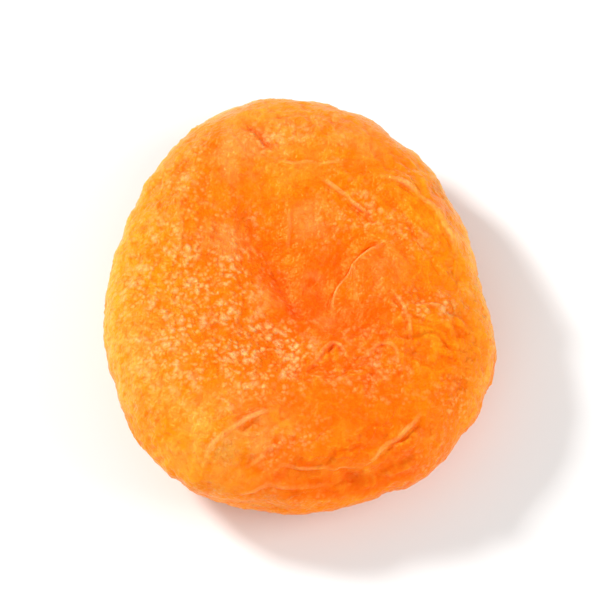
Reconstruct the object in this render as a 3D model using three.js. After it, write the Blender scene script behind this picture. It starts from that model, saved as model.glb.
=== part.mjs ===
// A whole dried apricot, pitted and pressed flat, lying on its flatter side.
//
// Millimetres, +Z up. The stem end points along +Y. The origin is on the surface that the
// fruit rests on, under the middle of its bounding box.
//
// The fruit is one body of dried flesh in its skin. Its form is built up in layers: a plump
// disc, the hollow where the flesh sank in over the lost pit, the lobes round that hollow,
// the folds of the slack skin, and the puckers that run over the rim.

import * as THREE from 'three';
import { mergeVertices } from 'three/addons/utils/BufferGeometryUtils.js';
import { ImprovedNoise } from 'three/addons/math/ImprovedNoise.js';

// ---- the plump disc ----

const SKIN_STEPS = 19; // each of the icosahedron's 20 faces becomes (SKIN_STEPS + 1)^2 triangles

// The outline seen from above, anticlockwise from the stem end.
const OUTLINE = [
  [-2.4, 19.7], [-6.8, 18.6], [-11.2, 15.5], [-14.5, 9.9], [-16.4, 3.9],
  [-16.8, -2.0], [-16.3, -7.3], [-13.8, -13.3], [-9.5, -17.7], [-4.8, -19.1],
  [0.9, -19.5], [6.6, -17.8], [11.8, -15.1], [15.4, -10.1], [16.9, -4.5],
  [15.8, 0.8], [14.5, 6.5], [11.8, 12.4], [7.4, 16.6], [2.3, 19.2],
];

// The section from the middle of the upper face, out over the rim and in to the middle of
// the underside: the share of the outline's radius, and the height. Its own weight flattens
// the part below zero, and leaves a small flat spot to rest on.
const MEAN_RADIUS = 17.9;
const SECTION = [
  [0, 9.3], [0.2, 9.35], [0.42, 9.55], [0.64, 9.6], [0.82, 8.95], [0.94, 7.45],
  [1.0, 5.2], [0.965, 3.1], [0.86, 1.5], [0.68, 0.75], [0.47, 0.2], [0.25, -0.3], [0, -0.45],
];
const RIM_WAVE = { height: 0.7, turn: 30 }; // the rim rises and sinks twice on its way round
const UPPER_FACE = { from: 0.31, to: 0.47 }; // shares of the section over which it turns into the rim
const UNDERSIDE = { from: 0.55, to: 0.7 };

// ---- broad forms ----

// Hollows and lobes of the upper face: middle, half-widths along and across, turn in degrees,
// and height.
const HOLLOW = { at: [-1.0, 2.6], half: [9.6, 8.6], turn: 35, height: -1.65 }; // over the lost pit
const SWELLS = [
  HOLLOW,
  { at: [2.2, 5.8], half: [3.6, 4.4], turn: -12, height: 0.42 }, // lobe inside the hollow
  { at: [-4.8, -0.2], half: [3.8, 2.9], turn: -20, height: 0.7 }, // lobe at its near edge
  { at: [6.4, 0.2], half: [3.2, 4.6], turn: -28, height: 0.8 }, // lobe on the right
  { at: [-7.2, 5.6], half: [3.2, 4.8], turn: 0, height: 0.55 }, // step in its left wall
  { at: [1.6, 15.2], half: [6.4, 2.6], turn: -8, height: 0.35 }, // stem end
  { at: [-8.5, -8.0], half: [8.0, 6.8], turn: 40, height: 0.6 }, // full cheek
  { at: [8.6, -9.4], half: [6.0, 4.6], turn: -30, height: -0.45 }, // slack cheek
  { at: [1.0, -6.6], half: [5.5, 2.2], turn: -8, height: -0.3 }, // crumpled band
];
const SWELL_FALL = { rate: 0.9, power: 1.25 }; // how the height falls away from the middle

// Folds of the skin, as lines seen from above. A valley has a negative height.
const FOLDS = [
  // the forked valley in the hollow
  { line: [[-5.6, 8.4], [-4.1, 5.7], [-2.5, 3.0], [-1.0, 0.2], [-0.1, -1.6]], half: 1.5, height: -0.6 },
  { line: [[-0.1, -1.4], [1.6, -0.1], [2.9, 1.2], [4.4, 2.8], [6.9, 4.4]], half: 1.2, height: -0.38 },
  { line: [[1.2, 10.7], [3.5, 9.5], [5.2, 6.9], [6.5, 4.8]], half: 1.0, height: -0.4 },
  { line: [[-5.4, -2.8], [-4.0, -3.5], [-2.5, -3.8], [-0.7, -3.4]], half: 1.0, height: -0.4 },
  { line: [[-0.9, 8.2], [-0.8, 6.4], [-0.6, 3.6]], half: 0.9, height: 0.15 },
  // the crease at the stem end and the ridge beside it
  { line: [[-5.0, 16.4], [-4.0, 15.2], [-2.7, 13.8], [-1.6, 12.7]], half: 1.0, height: -0.45 },
  { line: [[-2.8, 12.3], [-0.6, 11.5], [2.4, 11.4], [5.2, 12.2]], half: 0.9, height: 0.18 },
  // the crumpled band below the hollow
  { line: [[-0.4, -8.6], [0.6, -6.9], [2.0, -5.7], [3.2, -5.3], [5.0, -7.6]], half: 0.9, height: 0.45 },
  { line: [[5.0, -7.4], [6.2, -5.7], [7.5, -5.1], [8.4, -6.4], [8.7, -8.8]], half: 0.9, height: 0.45 },
  { line: [[-1.6, -9.0], [1.6, -9.7], [4.4, -9.1], [6.4, -10.4]], half: 0.9, height: 0.35 },
  { line: [[7.9, 0.4], [8.9, -2.6], [9.4, -5.4]], half: 0.95, height: 0.4 },
  { line: [[9.4, -2.6], [11.2, -2.2], [13.4, -2.7]], half: 0.95, height: 0.3 },
  // long folds on the near shoulder
  { line: [[-8.9, -16.4], [-7.3, -14.4], [-5.4, -12.9], [-2.4, -11.5]], half: 0.95, height: 0.5 },
  { line: [[-4.6, -16.8], [-2.6, -15.4], [0.4, -14.9], [3.6, -15.3], [6.2, -16.4]], half: 1, height: 0.25 },
  { line: [[5.6, -16.9], [7.8, -15.5], [9.4, -13.8], [10.2, -12.2]], half: 0.9, height: 0.5 },
  { line: [[-1.6, -17.2], [1.6, -17.6], [5.0, -17.3], [10.2, -14.2]], half: 1.0, height: -0.65 },
  // the rolled edge on the right and the crest along the hollow's left wall
  { line: [[6.0, 10.5], [8.9, 9.2], [11.0, 7.0], [12.8, 4.6], [13.6, 1.6]], half: 1.0, height: 0.4 },
  { line: [[-9.6, 10.6], [-10.3, 7.2], [-10.1, 3.8], [-9.4, 0.6]], half: 1.1, height: 0.35 },
  // creases of the underside
  { line: [[-10.5, 8.5], [-7.0, 5.0], [-6.0, 0.0], [-8.0, -5.0]], half: 1.1, height: -0.6, under: true },
  { line: [[3.0, 14.6], [5.4, 10.2], [9.2, 7.6], [12.4, 7.0]], half: 1.1, height: -0.6, under: true },
  { line: [[-3.5, -14.5], [0.5, -11.0], [5.5, -10.4], [10, -8]], half: 1.1, height: -0.55, under: true },
];
const FOLD_FADE = 0.26; // the share of a fold's length over which it dies out at each end

// The groove along the side, where the two halves of the fruit meet, from one azimuth in
// degrees to another. It wanders up and down a few times on the way.
const SEAM = { from: 95, to: 300, fade: 35, height: 4.2, half: 1.2, depth: 0.5 };
const SEAM_WANDER = { height: 0.7, waves: 3 };

// ---- small relief all over ----

const LUMPS = [
  { size: 6.5, height: 0.36, seed: 4.2 },
  { size: 2.9, height: 0.2, seed: 13.2 },
];
// Ridges that run up to the rim from below, closer together than they are long.
const PUCKERS = { spacing: 2.7, length: 3.7, height: 0.6, sway: 0.07, swaySize: 6, seed: 7.7 };
const PUCKERED = { middle: 0.635, half: 0.09 }; // the share of the section where they lie
// A net of short ridges, lower on the upper face, and lowest in the hollow.
const CRUMPLES = { spacing: 2.2, above: 0.24, below: 0.5, sway: 0.6, swaySize: 4, seed: 5.5 };
const CALM = 0.6; // how much lower the net is in the hollow
const CREST = { top: 0.65, slope: 2.2, rounding: 0.11 }; // the section of one such ridge
const PATCHES = { size: 9, seed: 3.3, share: 0.5 }; // where that relief is stronger or weaker

const noise = new ImprovedNoise();
/** Smooth noise, from -1 to 1, with lumps of a size at p. */
const lumpy = (p, size, seed) => noise.noise(p.x / size, p.y / size, p.z / size + seed);
/** 0 before a band of the section, 1 after it, smooth between. */
const past = (share, band) => THREE.MathUtils.smoothstep(share, band.from, band.to);

const flat = ([x, y]) => new THREE.Vector3(x, y, 0);
const outline = new THREE.CatmullRomCurve3(OUTLINE.map(flat), true);
const sectionPoint = ([share, z]) => new THREE.Vector2(share * MEAN_RADIUS, z);
const section = new THREE.SplineCurve(SECTION.map(sectionPoint));
section.arcLengthDivisions = 600;

/** The outline's radius in any direction, as a function of the azimuth. */
function radiusByAzimuth() {
  const DIRECTIONS = 720;
  const places = outline.getPoints(DIRECTIONS);
  const samples = places.map((p) => [Math.atan2(p.y, p.x), Math.hypot(p.x, p.y)]);
  samples.sort((a, b) => a[0] - b[0]);
  const [first, last] = [samples[0], samples.at(-1)];
  samples.unshift([last[0] - 2 * Math.PI, last[1]]);
  samples.push([first[0] + 2 * Math.PI, first[1]]);
  return (azimuth) => {
    const after = samples.findIndex((s) => s[0] >= azimuth);
    const [a, b] = [samples[Math.max(after - 1, 0)], samples[after]];
    return THREE.MathUtils.mapLinear(azimuth, a[0], b[0], a[1], b[1]);
  };
}
const outlineRadius = radiusByAzimuth();

/** A point of the plump disc: azimuth in radians, and the share of the way round the section. */
function onDisc(azimuth, share) {
  const p = section.getPointAt(THREE.MathUtils.clamp(share, 0, 1));
  const out = p.x / MEAN_RADIUS;
  const r = out * outlineRadius(azimuth);
  const turned = azimuth - THREE.MathUtils.degToRad(RIM_WAVE.turn);
  const wave = RIM_WAVE.height * out ** 3 * Math.cos(2 * turned);
  return new THREE.Vector3(r * Math.cos(azimuth), r * Math.sin(azimuth), p.y + wave);
}

/** 1 at the middle of an oval, falling smoothly to nothing a little outside it. */
function oval(x, y, { at, half, turn }) {
  const t = THREE.MathUtils.degToRad(turn);
  const [dx, dy] = [x - at[0], y - at[1]];
  const u = (dx * Math.cos(t) + dy * Math.sin(t)) / half[0];
  const v = (dy * Math.cos(t) - dx * Math.sin(t)) / half[1];
  return Math.exp(-SWELL_FALL.rate * (u * u + v * v) ** SWELL_FALL.power);
}

/** The disc with its hollow and lobes. */
function swollen(azimuth, share) {
  const p = onDisc(azimuth, share);
  const rise = SWELLS.reduce((sum, swell) => sum + swell.height * oval(p.x, p.y, swell), 0);
  p.z += (1 - past(share, UPPER_FACE)) * rise;
  return p;
}

/** Lays a line that is seen from above on the upper skin, or on the underside, by halving. */
function layOnSkin({ line, under = false }) {
  const [POINTS_A_CORNER, HALVINGS] = [6, 20];
  const curve = new THREE.CatmullRomCurve3(line.map(flat));
  return curve.getPoints(POINTS_A_CORNER * line.length).map((p) => {
    const azimuth = Math.atan2(p.y, p.x);
    const wanted = Math.hypot(p.x, p.y);
    let [inner, outer] = [under ? 1 : 0, 0.5];
    for (let i = 0; i < HALVINGS; i++) {
      const middle = (inner + outer) / 2;
      const q = onDisc(azimuth, middle);
      if (Math.hypot(q.x, q.y) < wanted) inner = middle;
      else outer = middle;
    }
    return swollen(azimuth, inner);
  });
}

const folds = FOLDS.map((fold) => ({ ...fold, points: layOnSkin(fold) }));
const nearest = new THREE.Vector3();
const span = new THREE.Line3();

/** The height that a fold adds at p: a smooth crest or valley that fades at both ends. */
function foldHeight(p, { points, half, height }) {
  let [distance, along] = [Infinity, 0];
  for (let i = 0; i < points.length - 1; i++) {
    span.set(points[i], points[i + 1]);
    const t = span.closestPointToPointParameter(p, true);
    const d = span.at(t, nearest).distanceTo(p);
    if (d < distance) [distance, along] = [d, (i + t) / (points.length - 1)];
  }
  const fade = THREE.MathUtils.smoothstep(Math.min(along, 1 - along), 0, FOLD_FADE);
  return height * fade * Math.exp(-((distance / half) ** 2));
}

/** The seam's groove at a point of the side. */
function seamHeight(azimuth, p) {
  const degrees = (THREE.MathUtils.radToDeg(azimuth) + 360) % 360;
  const inside = Math.min(degrees - SEAM.from, SEAM.to - degrees);
  const middle = SEAM.height + SEAM_WANDER.height * Math.sin(SEAM_WANDER.waves * azimuth);
  const across = (p.z - middle) / SEAM.half;
  return -SEAM.depth * THREE.MathUtils.smoothstep(inside, 0, SEAM.fade) * Math.exp(-across * across);
}

/** Rounded crests along the lines where a noise value passes zero. */
const crest = (value) => CREST.top - CREST.slope * Math.hypot(value, CREST.rounding);

/** The puckers, which sway to and fro as they run up to the rim. */
function puckerHeight(azimuth, share, p) {
  const turns = MEAN_RADIUS / PUCKERS.spacing;
  const swayed = azimuth + PUCKERS.sway * lumpy(p, PUCKERS.swaySize, PUCKERS.seed);
  const along = (share * MEAN_RADIUS) / PUCKERS.length;
  return PUCKERS.height * crest(noise.noise(turns * Math.cos(swayed), turns * Math.sin(swayed), along));
}

/** The net of short ridges, which bends as it goes. */
function crumpleHeight(share, p) {
  const bend = CRUMPLES.sway * lumpy(p, CRUMPLES.swaySize, CRUMPLES.seed);
  const [x, y] = [p.x / CRUMPLES.spacing + bend, p.y / CRUMPLES.spacing - bend];
  const below = past(share, UNDERSIDE);
  const height = THREE.MathUtils.lerp(CRUMPLES.above, CRUMPLES.below, below);
  const calm = CALM * (1 - below) * oval(p.x, p.y, HOLLOW);
  return height * (1 - calm) * crest(noise.noise(x, y, CRUMPLES.seed + below));
}

/** Everything that stands out of the smooth form at p, along its normal. */
function relief(azimuth, share, p) {
  const rim = Math.exp(-(((share - PUCKERED.middle) / PUCKERED.half) ** 2));
  const patch = 1 + PATCHES.share * lumpy(p, PATCHES.size, PATCHES.seed);
  let height = seamHeight(azimuth, p);
  height += rim * patch * puckerHeight(azimuth, share, p);
  height += (1 - rim) * patch * crumpleHeight(share, p);
  for (const { size, height: most, seed } of LUMPS) height += most * lumpy(p, size, seed);
  for (const fold of folds) {
    if (share > 0.5 === Boolean(fold.under)) height += foldHeight(p, fold);
  }
  return height;
}

/** The skin's point in the direction of a unit vector, which runs from pole to pole. */
function skinPoint(direction) {
  const places = [direction, ...tangents(direction)].map((d) => {
    const azimuth = Math.atan2(d.y, d.x);
    const share = Math.acos(THREE.MathUtils.clamp(d.z, -1, 1)) / Math.PI;
    return { azimuth, share, p: swollen(azimuth, share) };
  });
  const { azimuth, share, p } = places[0];
  const normal = places[1].p.clone().sub(p).cross(places[2].p.clone().sub(p)).normalize();
  p.addScaledVector(normal, relief(azimuth, share, p));
  p.z = Math.max(p.z, 0);
  return p;
}

/** Two directions a little aside from one, so that (second - first) x (third - first) faces out. */
function tangents(direction) {
  const STEP = 0.01;
  const side = Math.abs(direction.z) > 0.9 ? new THREE.Vector3(1, 0, 0) : new THREE.Vector3(0, 0, 1);
  const a = side.cross(direction).normalize();
  const b = direction.clone().cross(a);
  return [a, b].map((t) => direction.clone().addScaledVector(t, STEP).normalize());
}

function driedApricot() {
  const geometry = new THREE.IcosahedronGeometry(1, SKIN_STEPS);
  geometry.deleteAttribute('normal');
  geometry.deleteAttribute('uv');
  const skin = mergeVertices(geometry, 1e-5);
  const position = skin.getAttribute('position');
  const direction = new THREE.Vector3();
  for (let i = 0; i < position.count; i++) {
    direction.fromBufferAttribute(position, i).normalize();
    position.setXYZ(i, ...skinPoint(direction).toArray());
  }
  skin.computeBoundingBox();
  const middle = skin.boundingBox.getCenter(new THREE.Vector3());
  skin.translate(-middle.x, -middle.y, 0);
  skin.computeVertexNormals();

  const material = new THREE.MeshStandardMaterial({ color: 0xf8871e, roughness: 0.5, metalness: 0 });
  const mesh = new THREE.Mesh(skin, material);
  mesh.name = 'dried_apricot';
  return mesh;
}

const fruit = new THREE.Group();
fruit.add(driedApricot());

export default fruit;
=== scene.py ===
"""The look of one dried apricot: its skin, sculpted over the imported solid, and its finish."""

import math

import bpy
import numpy as np
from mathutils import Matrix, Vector, noise
from mathutils.bvhtree import BVHTree


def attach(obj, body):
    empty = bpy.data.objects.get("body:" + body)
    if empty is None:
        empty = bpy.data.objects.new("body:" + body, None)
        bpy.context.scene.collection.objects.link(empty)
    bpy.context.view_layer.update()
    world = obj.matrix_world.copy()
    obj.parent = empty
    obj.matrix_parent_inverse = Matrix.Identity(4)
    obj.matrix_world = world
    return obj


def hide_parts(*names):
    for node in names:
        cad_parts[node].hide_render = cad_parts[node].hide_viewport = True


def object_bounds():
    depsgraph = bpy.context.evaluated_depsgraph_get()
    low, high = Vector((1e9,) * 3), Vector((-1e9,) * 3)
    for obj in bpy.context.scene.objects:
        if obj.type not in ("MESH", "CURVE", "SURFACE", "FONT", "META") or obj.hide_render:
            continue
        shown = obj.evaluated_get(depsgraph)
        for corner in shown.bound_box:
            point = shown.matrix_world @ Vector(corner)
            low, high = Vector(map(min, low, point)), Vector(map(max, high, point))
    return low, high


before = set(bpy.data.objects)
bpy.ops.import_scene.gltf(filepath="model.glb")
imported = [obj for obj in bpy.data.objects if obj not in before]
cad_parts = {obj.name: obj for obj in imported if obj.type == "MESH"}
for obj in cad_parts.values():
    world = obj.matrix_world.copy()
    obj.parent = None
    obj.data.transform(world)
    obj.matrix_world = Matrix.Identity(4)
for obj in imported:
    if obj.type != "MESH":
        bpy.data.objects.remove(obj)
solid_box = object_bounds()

MM = 0.001  # the sculpting is done in millimetres, and Blender's unit is the metre
NODE = "dried_apricot"

# ---- the folds of the skin ----

# The lines below are seen from above, in millimetres, with +Y towards the stem end. Their
# zero lies this far from the frame's.
LINES_ZERO = (-0.12, -0.25)

# Thin crests and creases. Most run along the solid's broad folds or close beside them, and a
# few short ones are the skin's own. Each has its line, its half-width, its height, which is
# below 0 for a crease, and the side on which a crest falls away steeply, as a lapped fold does:
# 1 is the left as the line runs, -1 the right and 0 neither.
CREASES = [
    # the forked valley in the hollow
    ([(-7.3, 12.4), (-6.1, 9.9), (-5.1, 8.1), (-4.2, 5.8), (-3.2, 4.2)], 0.32, -0.10, 0),
    (
        [(-3.4, 4.6), (-2.7, 3.4), (-1.8, 1.7), (-1.1, 0.0), (-0.3, -1.9), (0.5, -3.1), (1.6, -4.4)],
        0.42, -0.17, 0,
    ),
    ([(-1.0, -0.4), (-0.3, -2.0), (0.6, -3.4)], 0.65, -0.16, 0),
    (
        [(2.7, -3.2), (3.0, -1.4), (3.5, 0.1), (4.5, 1.5), (5.6, 2.6), (6.9, 3.5), (8.0, 3.8)],
        0.28, 0.32, 1,
    ),
    ([(2.0, 2.0), (1.5, 1.2), (0.7, -0.1), (0.3, -1.0)], 0.30, -0.12, 0),
    ([(1.4, 10.8), (2.9, 9.4), (4.2, 8.6), (5.4, 7.3), (6.4, 5.6)], 0.26, 0.28, -1),
    ([(5.0, 2.2), (4.8, 0.4), (5.0, -2.0)], 0.22, 0.08, -1),
    ([(-4.6, -3.7), (-2.8, -3.8), (-0.9, -3.5)], 0.26, -0.15, 0),
    ([(-0.9, 7.4), (-0.7, 5.5), (-0.9, 3.1)], 0.22, 0.08, 1),
    # the stem end
    ([(-4.7, 16.0), (-4.0, 15.2), (-2.7, 13.8), (-1.6, 12.6)], 0.26, -0.22, 0),
    ([(-2.2, 12.2), (-0.6, 11.6), (2.4, 11.5), (4.6, 12.0)], 0.24, 0.17, 1),
    # the crumpled band below the hollow
    ([(-0.1, -8.8), (1.5, -6.9), (2.9, -5.4), (3.6, -5.7), (4.7, -7.2), (5.4, -7.8)], 0.22, 0.16, -1),
    ([(5.2, -7.6), (6.0, -6.6), (6.9, -5.5), (7.9, -5.6), (8.5, -6.8), (8.7, -8.6)], 0.22, 0.16, -1),
    ([(7.8, -0.8), (8.6, -1.9), (9.2, -2.6), (9.5, -4.6), (9.6, -6.4)], 0.22, 0.18, -1),
    ([(9.7, -2.7), (11.2, -2.1), (13.3, -2.6)], 0.22, 0.16, 1),
    # the near shoulder
    (
        [(-8.4, -17.0), (-7.6, -15.8), (-6.3, -14.4), (-4.7, -13.2), (-3.1, -12.4), (-1.8, -12.0)],
        0.30, 0.28, 0,
    ),
    ([(-4.8, -17.1), (-3.9, -16.5), (-3.1, -16.0), (-2.4, -15.4), (-0.8, -15.1)], 0.24, 0.22, 0),
    (
        [(-3.2, -17.5), (-0.8, -16.6), (1.6, -16.5), (2.9, -16.7), (4.5, -16.4), (6.3, -15.8)],
        0.24, 0.20, -1,
    ),
    ([(4.4, -16.6), (6.3, -15.8), (8.1, -14.4), (10.0, -12.7), (11.0, -11.7)], 0.26, 0.26, -1),
    (
        [(0.8, -17.4), (2.9, -17.2), (5.8, -16.8), (7.9, -15.9), (9.7, -15.0), (11.0, -14.0)],
        0.55, -0.20, 0,
    ),
    ([(-2.8, -17.7), (-1.0, -17.5), (0.8, -17.3)], 0.40, -0.14, 0),
    ([(-5.9, -18.7), (-4.5, -18.4), (-2.4, -18.3), (0.6, -18.1), (3.0, -17.7)], 0.26, 0.18, -1),
    # the rolled edge on the right and the crest along the hollow's left wall
    (
        [(6.8, 10.5), (8.4, 9.7), (9.9, 8.8), (11.3, 7.6), (12.5, 5.8), (13.5, 3.6), (14.3, 0.8)],
        0.28, 0.28, -1,
    ),
    ([(9.0, 12.9), (11.6, 10.2), (13.4, 7.2)], 0.26, 0.14, 1),
    ([(-9.8, 9.8), (-10.3, 7.2), (-10.1, 3.8), (-9.6, 1.4)], 0.28, 0.10, 1),
]

# Broad valleys that deepen the solid's hollow, written in the same way.
VALLEYS = [
    ([(-2.4, 2.6), (-1.6, 0.8), (-0.8, -0.8), (-0.1, -2.2), (0.9, -3.8), (1.8, -4.8)], 1.3, -0.22, 0),
    ([(0.0, -2.4), (1.8, -2.5), (3.4, -3.4), (4.6, -5.0), (6.0, -6.0)], 1.2, -0.24, 0),
    ([(1.6, -2.4), (2.1, -0.2), (3.2, 1.6), (4.8, 3.1), (6.6, 4.3)], 1.0, -0.14, 0),
]

# Fields of finer wrinkles, the edges of small lobes of skin: middle, half-widths, the way they
# run in degrees, how far apart they are, how long, and their height.
WRINKLED = [
    ((11.5, -5.6), (4.8, 5.5), -14.0, 0.75, 3.4, 0.26),
    ((4.5, -7.5), (8.0, 5.0), 65.0, 0.95, 1.7, 0.20),
    ((-5.5, -14.5), (8.0, 5.0), 40.0, 1.0, 3.4, 0.20),
    ((4.0, -15.5), (11.0, 5.0), 12.0, 1.0, 4.0, 0.18),
    ((9.5, 6.0), (6.0, 9.0), -55.0, 0.95, 4.5, 0.17),
    ((0.5, 12.5), (9.0, 5.0), 5.0, 1.0, 2.8, 0.11),
    ((-10.0, 7.0), (4.5, 8.0), 75.0, 0.95, 3.2, 0.14),
    ((3.5, 1.5), (6.5, 7.0), 60.0, 1.3, 3.4, 0.07),
]

# A lapped fold's section: its long slope and the trough that it hangs over, in half-widths,
# and how deep the trough is, as a share of the fold's height.
LAP = {"slope": 9.0, "trough": 1.2, "depth": 0.8}
FAR = 16.0  # how many half-widths a crest or crease reaches
# How far a drawn line strays from its corners, the share of its length over which it fades at
# either end, and the size of the strays and of the breaks in it.
LINE = {"sway": 0.35, "fade": 0.3, "size": 1.6}
FULL_NOTE = 0.2  # the height from which the finish shows a crest or crease in full
# How far the rows of fine wrinkles sway, over what size, and the step up to each small lobe.
LOBES = {"sway": 1.4, "size": 2.2, "step": 0.5, "softness": 0.2}

# ---- the skin's texture ----

# Nets of wrinkles all over, from broad to fine: the size of their meshes, and their height.
# They are bent by NET_SWAY, drawn out along the fruit, and stronger in some places.
NETS = [(2.3, -0.13), (1.1, 0.10), (0.52, 0.035)]
NET_SWAY = 0.55
NET_STRETCH = (1.0, 0.72, 1.0)
# Short gathers that run up over the rim.
GATHERS = {"size": 1.1, "length": 4.5, "height": 0.09, "radius": 17.5}
# Rounded grains under the skin, where the flesh is pulpy.
GRAINS = {"size": 0.75, "height": 0.10}
# Where the upper face is grainy: middle, half-widths, how strongly.
GRAINY = [
    ((-9.5, -2.0), (9.5, 14.0), 0.9),
    ((-3.8, -7.0), (8.0, 6.0), 1.0),
    ((5.2, -8.0), (6.5, 4.5), 0.55),
    ((10.8, -2.4), (4.8, 2.0), 0.85),
]
GRAINY_ALL_OVER = 0.15
# Low lumps all over.
LUMPS = {"size": 2.1, "height": 0.08}

# ---- where its colours lie ----

# Where the flesh is painted deeper orange, golden and paler: middle, half-widths, how strongly.
# The deeper orange is partly the thick, moist flesh's own colour and partly painted shade in the
# hollow and on the near side. The gold is partly the thin flesh's own colour and partly painted
# light, the glow of the thin rim and the brighter lit left side. The paler patches are painted
# sheen on raised lobes, partly dry skin.
DEEP_AND_SHADE = [
    # the forked valley and the hollow round it
    ((1.0, -2.2), (4.4, 3.9), 1.0),
    ((-0.7, 0.4), (3.8, 4.6), 0.7),
    ((-4.0, 5.0), (2.8, 4.2), 0.25),
    ((2.2, 1.6), (4.6, 4.4), 0.75),
    ((1.0, 2.0), (10.0, 9.5), 0.45),
    # the face below it and the near side
    ((4.4, -4.0), (6.0, 4.2), 1.0),
    ((3.0, -11.0), (11.0, 8.0), 0.6),
    ((4.0, -18.5), (12.5, 5.5), 0.55),
]
GOLDEN_AND_LIT = [
    # the rim: left, stem end, right and near left
    ((-16.0, -3.0), (11.5, 19.0), 0.62),
    ((1.5, 17.0), (16.0, 10.0), 0.1),
    ((13.5, 9.0), (7.0, 12.0), 0.52),
    ((16.5, 2.5), (5.5, 10.5), 0.55),
    ((-9.5, -15.5), (10.0, 8.0), 0.6),
    # inside it
    ((-12.6, 0.2), (3.6, 5.0), 1.0),
    ((-5.5, -9.8), (5.0, 3.2), 0.5),
    ((4.4, -11.2), (3.6, 2.4), 0.35),
]
PALE = [
    # the stem end
    ((-4.0, 14.0), (9.0, 6.0), 0.5),
    ((4.6, 14.6), (5.0, 3.8), 0.7),
    ((-5.0, 12.4), (3.8, 4.0), 0.9),
    # the near left shoulder
    ((-7.0, -14.5), (8.0, 5.5), 0.7),
    ((-14.0, -9.0), (5.0, 8.0), 0.6),
    ((-4.4, -14.7), (3.0, 2.8), 1.0),
    # the lobes round the hollow and inside it
    ((-6.9, 3.9), (3.0, 2.3), 0.9),
    ((0.9, 6.3), (2.6, 2.8), 0.65),
    ((1.0, 0.5), (1.4, 1.2), 0.7),
    ((1.9, -3.7), (1.3, 0.9), 0.6),
    ((-2.9, -1.1), (2.2, 1.9), 0.45),
    ((7.4, 0.8), (2.4, 3.0), 0.45),
]


def smooth_step(value, low, high):
    """0 up to the low value, 1 from the high one, and smooth between."""
    t = np.clip((value - low) / (high - low), 0, 1)
    return t * t * (3 - 2 * t)


def ovals(points, places):
    """The strongest of some ovals seen from above, each fading smoothly to 0 outside it."""
    strongest = np.zeros(len(points))
    for middle, half, strength in places:
        x = (points[:, 0] - middle[0]) / half[0]
        y = (points[:, 1] - middle[1]) / half[1]
        strongest = np.maximum(strongest, strength * (1 - smooth_step(np.hypot(x, y), 0.2, 1.15)))
    return strongest


def noise_at(points, size, seed):
    """Smooth noise, mostly from -0.5 to 0.5, with bumps of about this size."""
    return np.array([noise.noise(Vector(p)) for p in points / size + seed])


def ridges(values, width=0.11):
    """Thin crests along the lines where the values pass zero, level on the whole."""
    return np.exp(-np.hypot(values, 0.3 * width) / width) - 0.28


def pebbles(points, size, seed):
    """Rounded grains of about this size, packed side by side, level on the whole."""
    out = np.array([noise.voronoi(Vector(p))[0][0] for p in points / size + seed])
    return np.clip(1 - (out / 0.65) ** 2, 0, 1) - 0.45


def fine_skin(solid):
    """The solid's own surface as a fine, smooth mesh of four-sided faces."""
    mesh = solid.data.copy()
    skin = bpy.data.objects.new("apricot_skin", mesh)
    bpy.context.scene.collection.objects.link(skin)
    weld = skin.modifiers.new("weld", "WELD")
    weld.merge_threshold = 1e-3 * MM
    smooth = skin.modifiers.new("smooth", "SUBSURF")
    smooth.levels = smooth.render_levels = 2
    evaluated = skin.evaluated_get(bpy.context.evaluated_depsgraph_get())
    skin.data = bpy.data.meshes.new_from_object(evaluated)
    skin.modifiers.clear()
    skin.data.materials.clear()
    return skin


def vertex_table(mesh, what):
    """One of a mesh's three-number values, such as "co", as a row for each vertex."""
    table = np.empty(3 * len(mesh.vertices))
    mesh.vertices.foreach_get(what, table)
    return table.reshape(-1, 3)


def laid_on(tree, line, steps=10):
    """A line that is seen from above, laid on the upper skin as close points."""
    corners = np.array(line) + LINES_ZERO
    lengths = np.arange(len(corners))
    fine = np.linspace(0, len(corners) - 1, steps * (len(corners) - 1) + 1)
    plan = np.stack([np.interp(fine, lengths, corners[:, axis]) for axis in (0, 1)], axis=1)
    for _ in range(3 * steps // 2):
        plan[1:-1] = (plan[:-2] + 2 * plan[1:-1] + plan[2:]) / 4
    flat = np.column_stack([plan, 0 * plan[:, 0]])
    plan += LINE["sway"] * np.stack([noise_at(flat, LINE["size"], seed) for seed in (3, 8)], axis=1)
    hits = [tree.ray_cast(Vector((x, y, 50.0)), Vector((0, 0, -1)))[0] for x, y in plan]
    return np.array([hit for hit in hits if hit is not None])


def beside(points, path, reach):
    """The points near a path: which, how far to the left of it, and how far along as a share."""
    low, high = path.min(axis=0) - reach, path.max(axis=0) + reach
    near = np.flatnonzero(((points > low) & (points < high)).all(axis=1))
    distance = np.full(len(near), np.inf)
    along, left = np.zeros(len(near)), np.ones(len(near))
    for i, (start, end) in enumerate(zip(path, path[1:])):
        step = end - start
        offset = points[near] - start
        t = np.clip((offset @ step) / (step @ step), 0, 1)
        d = np.linalg.norm(offset - t[:, None] * step, axis=1)
        closer = d < distance
        distance[closer] = d[closer]
        along[closer] = (i + t[closer]) / (len(path) - 1)
        left[closer] = np.sign(step[0] * offset[:, 1] - step[1] * offset[:, 0])[closer]
    return near, distance * left, along


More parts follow.
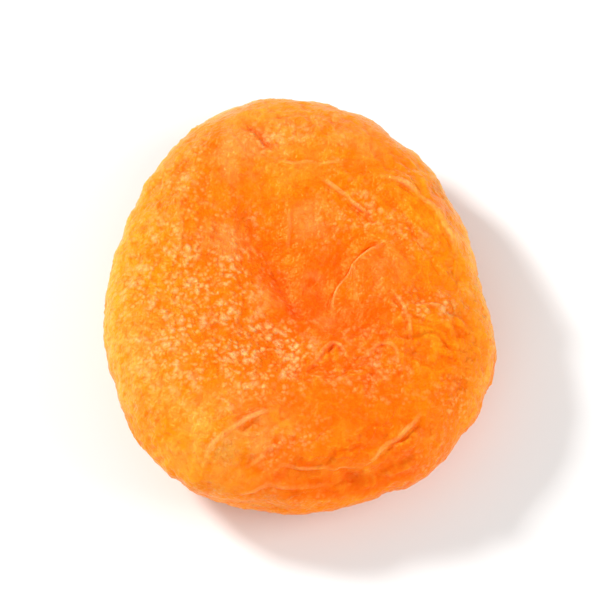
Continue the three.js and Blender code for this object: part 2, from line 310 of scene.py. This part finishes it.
def creased(points, tree):
    """What the crests and creases add, and notes of the nearest one for the finish.

    Each fades towards both ends and is broken in places. The notes are how far across it a
    point lies, in half-widths towards its steep side, and how strong a crest or crease it is.
    The broad valleys leave none.
    """
    height = np.zeros(len(points))
    across = np.full(len(points), FAR)
    crest, crease = np.zeros(len(points)), np.zeros(len(points))
    for fold in CREASES + VALLEYS:
        line, half, most, steep = fold
        near, left, along = beside(points, laid_on(tree, line), FAR * half)
        x = left / half * (steep or 1)
        fade = smooth_step(np.minimum(along, 1 - along), 0.0, LINE["fade"])
        fade = fade * np.clip(0.85 + 1.1 * noise_at(points[near], LINE["size"], 17.0), 0.2, 1.2)
        shape = np.exp(-x * x)
        if steep:
            slope = np.exp(-np.abs(x / LAP["slope"]) ** 1.5)
            trough = LAP["depth"] * np.exp(-((x - LAP["trough"]) ** 2))
            shape = np.where(x < 0, slope, shape - trough)
        height[near] += most * fade * shape
        if fold in CREASES:
            nearest = np.abs(x) < np.abs(across[near])
            across[near[nearest]] = x[nearest]
            crest[near[nearest]] = fade[nearest] * np.clip(most / FULL_NOTE, 0, 1.6)
            crease[near[nearest]] = fade[nearest] * np.clip(-most / FULL_NOTE, 0, 1.6)
    return height, across, crest, crease


def wrinkled(points, upper):
    """The fields of fine wrinkles: a thin crest along the edge of each small lobe."""
    height = np.zeros(len(points))
    for number, (middle, half, turn, apart, length, most) in enumerate(WRINKLED):
        share = upper * ovals(points, [(middle, half, 1.0)])
        near = np.flatnonzero(share > 0)
        x, y, _ = points[near].T
        y = y + LOBES["sway"] * noise_at(points[near], LOBES["size"], 71.0 + number)
        c, s = math.cos(math.radians(turn)), math.sin(math.radians(turn))
        plan = np.column_stack([(c * x + s * y) / length, (c * y - s * x) / apart, 0 * x])
        lobes = noise_at(plan, 1.0, 5.3 * number)
        step = LOBES["step"] * np.tanh(lobes / LOBES["softness"])
        height[near] += most * share[near] * (ridges(lobes) + step)
    return height


def rim_share(points):
    """How far out each point lies, as a share of the outline's radius in its direction."""
    azimuth = np.arctan2(points[:, 1], points[:, 0])
    radius = np.hypot(points[:, 0], points[:, 1])
    bins = 120
    place = (azimuth / (2 * math.pi) + 0.5) * bins
    outline = np.zeros(bins)
    np.maximum.at(outline, place.astype(int) % bins, radius)
    ring = np.arange(-1, bins + 1)
    return radius / np.interp(place, ring + 0.5, outline[ring % bins])


def sculpt(skin):
    """Gives the skin its thin folds and its texture, and notes for its colours."""
    mesh = skin.data
    points = vertex_table(mesh, "co") / MM
    normals = vertex_table(mesh, "normal")
    faces = [tuple(p.vertices) for p in mesh.polygons]
    tree = BVHTree.FromPolygons([Vector(p) for p in points], faces)

    out = rim_share(points)
    upper = smooth_step(normals[:, 2], 0.1, 0.5)
    side = smooth_step(out, 0.80, 0.97)
    # Deeper orange in the hollow and on the near side: partly the thick flesh's own colour, partly
    # painted shade.
    deep_and_shade = upper * ovals(points, DEEP_AND_SHADE)

    folds, across, crest, crease = creased(points, tree)

    strength = 1 + 0.9 * noise_at(points, 5.0, 3.1)
    sway = np.stack([noise_at(points, 1.7, seed) for seed in (8.3, 15.1, 27.7)], axis=1)
    bent = (points + NET_SWAY * sway) * NET_STRETCH
    net = sum(height * ridges(noise_at(bent, size, 31.0 + size)) for size, height in NETS)

    azimuth = np.arctan2(points[:, 1], points[:, 0])
    around = GATHERS["radius"] * np.stack([np.cos(azimuth), np.sin(azimuth)], axis=1)
    rolled = np.column_stack([around, (points[:, 2] + 12 * out) / GATHERS["length"]])
    gathers = ridges(noise_at(rolled + 0.5 * sway, GATHERS["size"], 51.0))

    patches = GRAINY_ALL_OVER + 0.8 * noise_at(points, 4.0, 44.0)
    grainy = np.clip(np.maximum(patches, upper * ovals(points, GRAINY)), 0.08, 1.0)
    grain = pebbles(points + 0.3 * sway, GRAINS["size"], 61.0)

    texture = wrinkled(points, upper) + strength * net * (1 - 0.5 * grainy) * (1 - 0.55 * deep_and_shade)
    texture += GATHERS["height"] * side * gathers
    texture += GRAINS["height"] * grainy * grain
    height = folds + texture + LUMPS["height"] * noise_at(points, LUMPS["size"], 41.0)

    moved = points + normals * height[:, None]
    moved[:, 2] = np.maximum(moved[:, 2], 0.0)  # no point sinks below the resting surface
    mesh.vertices.foreach_set("co", (moved * MM).ravel())
    mesh.update()
    mesh.shade_smooth()

    # The far half, towards the key light, where the rim and its outer edge are painted lighter:
    # painted light.
    behind = smooth_step(points[:, 1], -16.0, -2.0)
    notes = {
        "lit_rim": side * upper * behind,
        "edge": behind * smooth_step(out, 0.93, 0.99) * smooth_step(normals[:, 2], -0.1, 0.3),
        "deep_and_shade": deep_and_shade,
        "golden_and_lit": ovals(points, GOLDEN_AND_LIT),
        "pale": upper * ovals(points, PALE),
        "grainy": grainy,
        "across": across,
        "crest": crest,
        "crease": crease,
        "relief": np.clip(0.5 + 3.0 * texture, 0, 1),
    }
    for name, values in notes.items():
        note = mesh.attributes.new(name, "FLOAT", "POINT")
        note.data.foreach_set("value", values.astype(np.float32))


class Value:
    """A number that changes over a surface: a node's socket, used in ordinary sums."""

    def __init__(self, tree, socket):
        self.tree = tree
        self.socket = socket

    def _sum(self, operation, first, second):
        node = self.tree.nodes.new("ShaderNodeMath")
        node.operation = operation
        for place, term in enumerate((first, second)):
            if isinstance(term, Value):
                self.tree.links.new(term.socket, node.inputs[place])
            else:
                node.inputs[place].default_value = term
        return Value(self.tree, node.outputs[0])

    def __add__(self, other):
        return self._sum("ADD", self, other)

    def __radd__(self, other):
        return self._sum("ADD", other, self)

    def __sub__(self, other):
        return self._sum("SUBTRACT", self, other)

    def __rsub__(self, other):
        return self._sum("SUBTRACT", other, self)

    def __mul__(self, other):
        return self._sum("MULTIPLY", self, other)

    def __rmul__(self, other):
        return self._sum("MULTIPLY", other, self)


class Finish:
    """A material under construction."""

    def __init__(self, name):
        self.material = bpy.data.materials.new(name)
        self.material.use_nodes = True
        self.tree = self.material.node_tree
        self.shader = self.tree.nodes["Principled BSDF"]

    def node(self, kind, settings=None, sockets=None, output=0):
        """Adds a node: its settings first, then the values or links of its sockets."""
        node = self.tree.nodes.new(kind)
        for key, value in (settings or {}).items():
            setattr(node, key, value)
        for key, value in (sockets or {}).items():
            self.feed(node.inputs[key], value)
        return Value(self.tree, node.outputs[output])

    def feed(self, socket, value):
        if isinstance(value, Value):
            self.tree.links.new(value.socket, socket)
        else:
            socket.default_value = value

    def note(self, name):
        """A value that the sculpting left on the skin."""
        return self.node("ShaderNodeAttribute", {"attribute_name": name}, output="Fac")

    def between(self, share, first, second):
        """A colour between two."""
        sockets = {0: share, 6: first, 7: second}
        return self.node("ShaderNodeMix", {"data_type": "RGBA"}, sockets, output=2)

    def span(self, value, low, high):
        """0 below the low value, 1 above the high one, and smooth between."""
        settings = {"interpolation_type": "SMOOTHSTEP"}
        sockets = {"Value": value, "From Min": low, "From Max": high}
        return self.node("ShaderNodeMapRange", settings, sockets)

    def set(self, **values):
        for name, value in values.items():
            self.feed(self.shader.inputs[name.replace("_", " ")], value)


def colour(red, green, blue):
    return (red, green, blue, 1.0)


DEEP_ORANGE = colour(0.94, 0.098, 0.001)
ORANGE = colour(0.95, 0.230, 0.001)
GOLD = colour(0.96, 0.36, 0.006)
PEACH = colour(0.98, 0.55, 0.18)
BLUSH = colour(0.98, 0.44, 0.026)
STRAW = colour(0.98, 0.50, 0.07)
CREAM = colour(0.99, 0.62, 0.24)
RUSSET = colour(0.88, 0.105, 0.001)
SHADE_RED = colour(0.82, 0.075, 0.001)
BUMP_DEPTH = 0.38 * MM


def apricot_finish():
    """Translucent dried flesh in a satin skin: gold where it is thin and lit, deeper orange in the
    hollow, with painted light and shade.
    """
    finish = Finish("apricot_skin")
    place = finish.node("ShaderNodeTexCoord", output="Object")

    def mottle(size, detail=2.0):
        """Noise with spots of about this size in millimetres."""
        sockets = {"Vector": place, "Scale": 1 / (size * MM), "Detail": detail}
        return finish.node("ShaderNodeTexNoise", {"noise_type": "FBM"}, sockets)

    def granules(size):
        """Misshapen domes of about this size in millimetres: 1 on top, 0 between them."""
        settings = {"noise_type": "FBM"}
        sway = {"Vector": place, "Scale": 1.2 / (size * MM), "Detail": 2.0}
        swayed = finish.node("ShaderNodeTexNoise", settings, sway, output="Color")
        bend = {0: swayed, 1: (0.9 * size * MM,) * 3, 2: place}
        bent = finish.node("ShaderNodeVectorMath", {"operation": "MULTIPLY_ADD"}, bend)
        sockets = {"Vector": bent, "Scale": 1 / (size * MM)}
        out = finish.node("ShaderNodeTexVoronoi", {"feature": "F1"}, sockets, output="Distance")
        return finish.span(out + 0.8 * (mottle(1.7 * size) - 0.5), 0.65, 0.05)

    clouds = mottle(6.0, 3.0)
    blotches = mottle(1.6)
    crinkle = mottle(0.75)
    pulp = granules(0.46)
    pores = mottle(0.24, 1.0)
    # Paler specks on the tops of the grains: painted glints.
    speck_glints = pulp * finish.span(mottle(1.3), 0.35, 0.65)

    relief = finish.note("relief")
    deep_and_shade = finish.note("deep_and_shade")
    golden_and_lit = finish.note("golden_and_lit")
    grainy = finish.note("grainy")
    across = finish.note("across")
    crest = finish.note("crest")
    crease = finish.note("crease")
    # Along the thin crests and creases: a painted highlight on each crest, and painted shade in the
    # trough under a lapped fold and in each crease.
    narrow = finish.span(across * across, 1.0, 0.0)
    wide = finish.span(across * across, 16.0, 0.0)
    under = across - LAP["trough"]
    crest_highlight = crest * narrow
    trough = 0.65 * crest * finish.span(under * under, 0.8, 0.0) + crease * narrow

    # Gold on the thin rim and the lit left side: partly the thin flesh's own colour, partly painted
    # light.
    gold_and_light = 0.35 * finish.note("lit_rim") + golden_and_lit * (0.6 + 0.4 * finish.span(blotches, 0.3, 0.6))
    # Paler patches on raised lobes: painted sheen, partly dry skin.
    sheen_and_dry = finish.note("pale") * finish.span(blotches, 0.3, 0.6)
    calm = (0.55 + 0.45 * grainy) * (1 - 0.5 * deep_and_shade)
    # Soft random patches of painted sheen, away from the grains and the hollow.
    sheen_patches = finish.span(mottle(2.2), 0.45, 0.75) * (1 - grainy) * (1 - 0.5 * deep_and_shade)
    # Pale flecks among the grains: partly dry sugary skin, partly painted glints.
    fleck_and_glint = granules(0.75) * finish.span(mottle(2.2), 0.42, 0.62) * finish.span(grainy, 0.3, 0.75)

    flesh = finish.between(0.58 + 0.42 * finish.span(clouds, 0.35, 0.65), DEEP_ORANGE, ORANGE)
    coats = [
        # how thick and how dry the flesh is, with painted light and shade: gold and a straw line on
        # the thin, lit rim, deeper orange with painted shade in the hollow, painted shade along the
        # creases and painted sheen on raised lobes
        (finish.span(blotches, 0.5, 0.75) * 0.2, GOLD),
        (gold_and_light, GOLD),
        # a lighter straw line along the far side's outer edge: painted light
        (finish.note("edge") * 0.6, STRAW),
        (0.9 * deep_and_shade, DEEP_ORANGE),
        # painted shade along the creases
        (crease * wide * 0.35, SHADE_RED),
        (sheen_and_dry * 0.32, PEACH),
        # painted shade in the low parts of the skin's relief, in the troughs and in the creases, and
        # painted highlights on its high parts and along the crests
        (finish.span(relief, 0.46, 0.15) * (0.4 - 0.25 * golden_and_lit), RUSSET),
        (finish.span(relief, 0.54, 0.9) * 0.28, BLUSH),
        (crest_highlight * 0.32, PEACH),
        (trough * 0.35, SHADE_RED),
        # the skin's fine mottling: soft patches of painted sheen, painted shade and highlight in the
        # low and high parts of the fine crinkles, and darker pores
        (sheen_patches * 0.2, BLUSH),
        (calm * finish.span(crinkle, 0.50, 0.34) * 0.35, RUSSET),
        (calm * finish.span(crinkle, 0.55, 0.70) * 0.25, BLUSH),
        (finish.span(pores, 0.5, 0.3) * 0.2, RUSSET),
        # the grains: painted shade in the gaps between them, painted glints on their tops, and pale
        # flecks, partly dry sugary skin and partly painted glints
        (grainy * (1 - pulp) * 0.35, RUSSET),
        (grainy * speck_glints * 0.9, PEACH),
        (fleck_and_glint * 0.75, CREAM),
    ]
    for share, coat in coats:
        flesh = finish.between(share, flesh, coat)

    rough = 0.33 + 0.2 * (clouds - 0.5) + 0.1 * deep_and_shade - 0.06 * speck_glints
    bump = calm * (1.3 * crinkle + (0.1 + 0.3 * grainy) * pulp + 0.4 * fleck_and_glint) + 0.15 * pores
    bump = bump + 0.15 * crest_highlight - 0.2 * trough
    sockets = {"Strength": 1.0, "Distance": BUMP_DEPTH, "Height": bump}
    normal = finish.node("ShaderNodeBump", None, sockets)
    finish.set(Base_Color=flesh, Roughness=rough, Normal=normal)
    finish.set(Subsurface_Weight=0.5, Subsurface_Radius=(1.0, 0.25, 0.06), Subsurface_Scale=0.0012)
    finish.set(IOR=1.46, Specular_IOR_Level=0.3, Specular_Tint=colour(1.0, 0.72, 0.12))
    finish.set(Sheen_Weight=0.03, Sheen_Roughness=0.3, Sheen_Tint=colour(1.0, 0.72, 0.08))
    return finish.material


def white_card():
    """The matt white of the floor."""
    finish = Finish("white_card")
    finish.set(Base_Color=colour(0.9, 0.9, 0.89), Roughness=0.85)
    return finish.material


ROOM_LIGHT = 0.45


def stage():
    """A pale floor, a soft key light from the upper left and white fill all round."""
    bpy.ops.mesh.primitive_plane_add(size=2.0)
    floor = bpy.context.object
    floor.name = "floor"
    floor.data.materials.append(white_card())

    def lamp(name, place, size, power):
        """A square lamp that faces the fruit."""
        light = bpy.data.lights.new(name, "AREA")
        light.size = size
        light.energy = power
        holder = bpy.data.objects.new(name, light)
        holder.location = place
        holder.rotation_euler = (-Vector(place)).to_track_quat("-Z", "Y").to_euler()
        bpy.context.scene.collection.objects.link(holder)

    lamp("key", (-0.30, 0.17, 0.26), 0.08, 1.68)
    lamp("right_fill", (0.34, -0.04, 0.20), 0.24, 0.86)
    lamp("front_fill", (-0.10, -0.42, 0.20), 0.36, 0.75)

    world = bpy.data.worlds.new("white_room")
    bpy.context.scene.world = world
    world.use_nodes = True
    background = world.node_tree.nodes["Background"]
    background.inputs["Color"].default_value = colour(1.0, 1.0, 1.0)
    background.inputs["Strength"].default_value = ROOM_LIGHT
    bpy.context.scene.view_settings.view_transform = "Standard"


VIEW_ELEVATION = 65.0  # degrees above the horizon
VIEW_DISTANCE = 0.45
VIEW_WIDTH = 0.052  # what the frame takes in across, at the fruit


def camera():
    """A long lens that looks down on the face from the near side."""
    data = bpy.data.cameras.new("camera")
    holder = bpy.data.objects.new("camera", data)
    bpy.context.scene.collection.objects.link(holder)
    elevation = math.radians(VIEW_ELEVATION)
    back = Vector((0, -math.cos(elevation), math.sin(elevation)))
    middle = (solid_box[0] + solid_box[1]) / 2
    holder.location = middle + back * VIEW_DISTANCE
    holder.rotation_euler = (-back).to_track_quat("-Z", "Y").to_euler()
    data.lens = data.sensor_width * VIEW_DISTANCE / VIEW_WIDTH
    data.clip_start = 0.01
    bpy.context.scene.camera = holder


skin = fine_skin(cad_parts[NODE])
sculpt(skin)
skin.data.materials.append(apricot_finish())
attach(skin, "root")
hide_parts(NODE)
stage()
camera()
